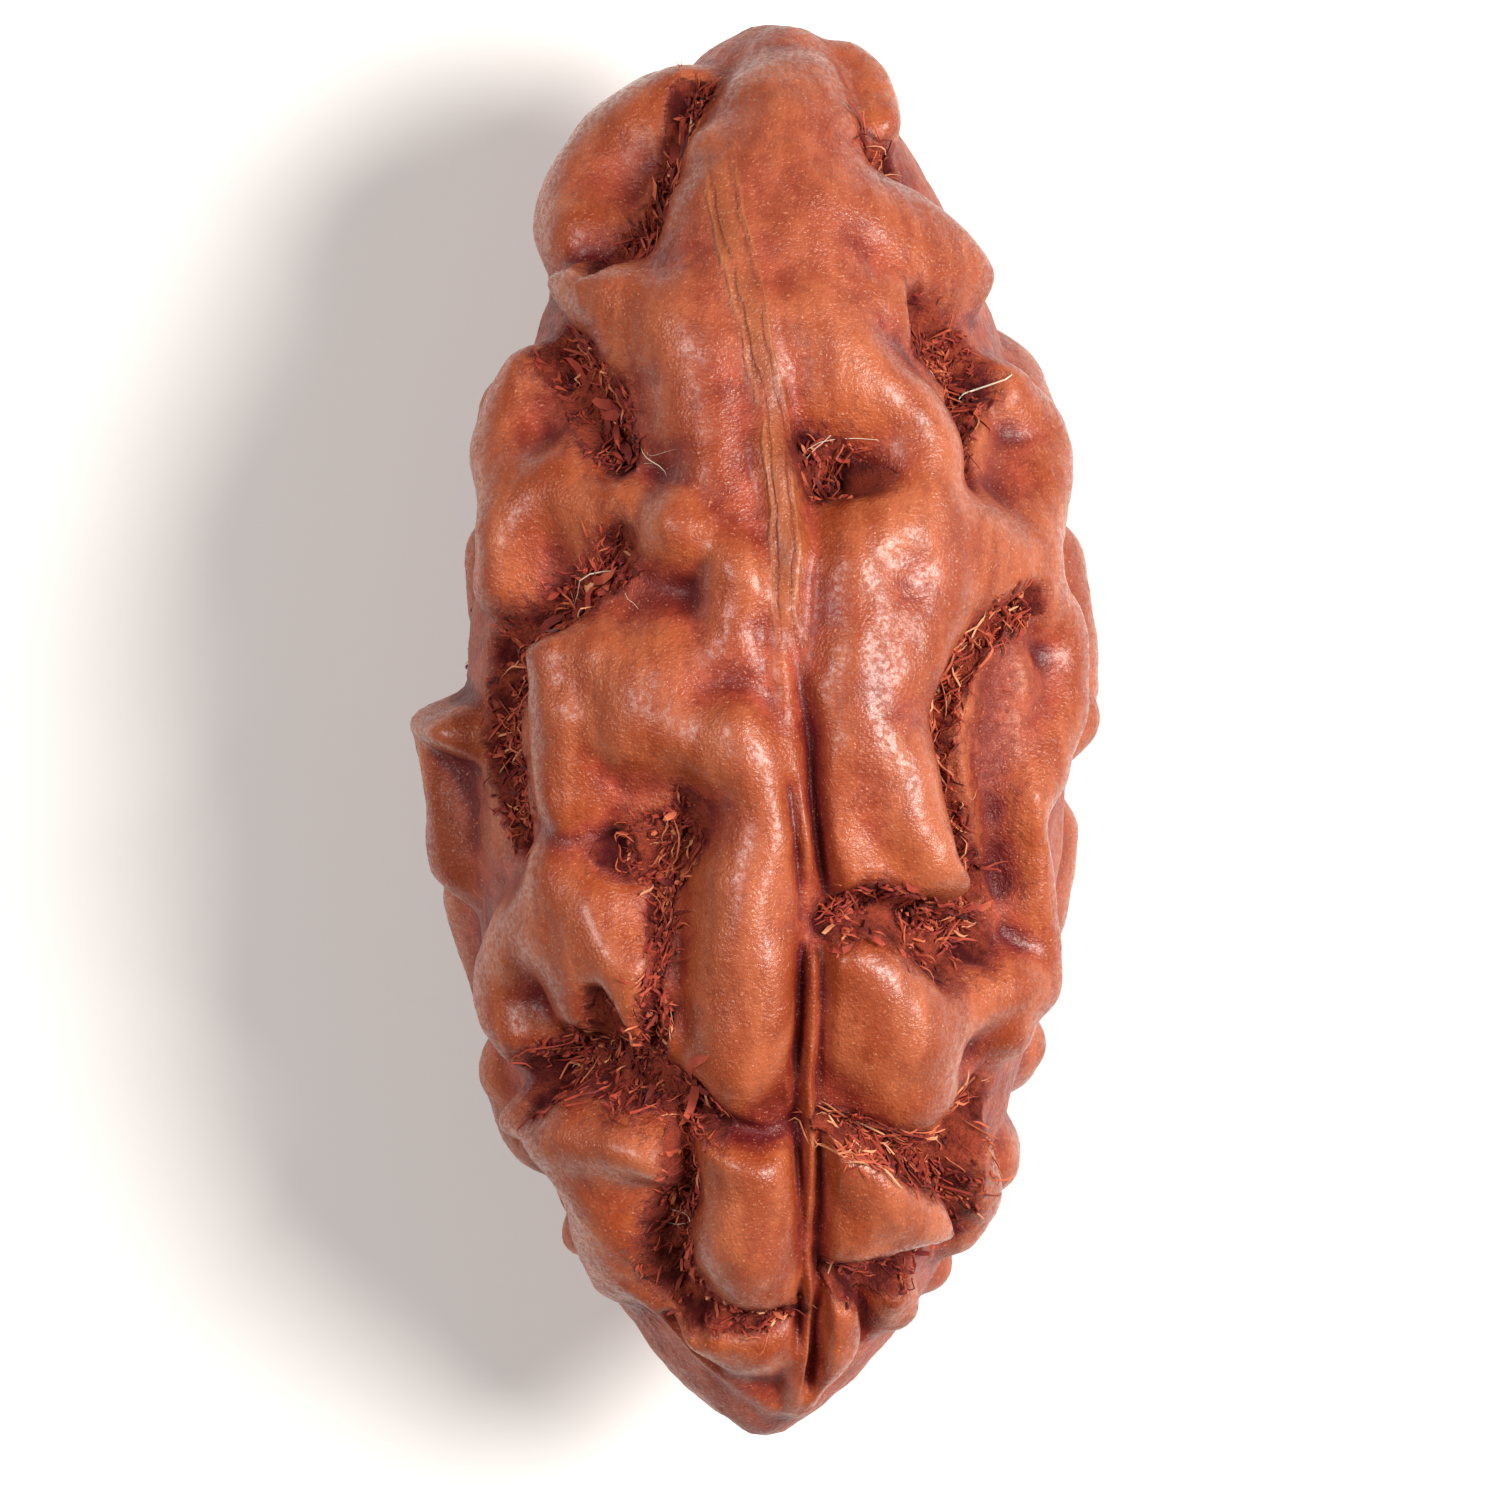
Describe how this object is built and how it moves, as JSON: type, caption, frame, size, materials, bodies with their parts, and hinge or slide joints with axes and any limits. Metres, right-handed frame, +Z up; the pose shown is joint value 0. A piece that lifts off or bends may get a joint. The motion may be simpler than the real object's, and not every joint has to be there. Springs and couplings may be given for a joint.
{
  "type": "walnut",
  "caption": "Long pointed walnut, whole in its shell, lying on its side, covered in polished rounded lobes and ridges with deep fibrous pits and a seam from end to end.",
  "frame": {"origin": "middle of the nut's underside, on the surface it rests on", "axes": "+Y along the nut to its blunt stem end, +Z up through the upper seam, +X across the nut"},
  "size_m": [0.0242, 0.0496, 0.0233],
  "materials": {
    "polished_shell": "polished, slightly waxy, orange-brown on the crests and dark red-brown in the pits",
    "pit_fibre": "dry and matt, red-brown shreds of husk fibre with paler ends"
  },
  "bodies": {
    "root": {"walnut_shell": "polished_shell"}
  },
  "joints": []
}
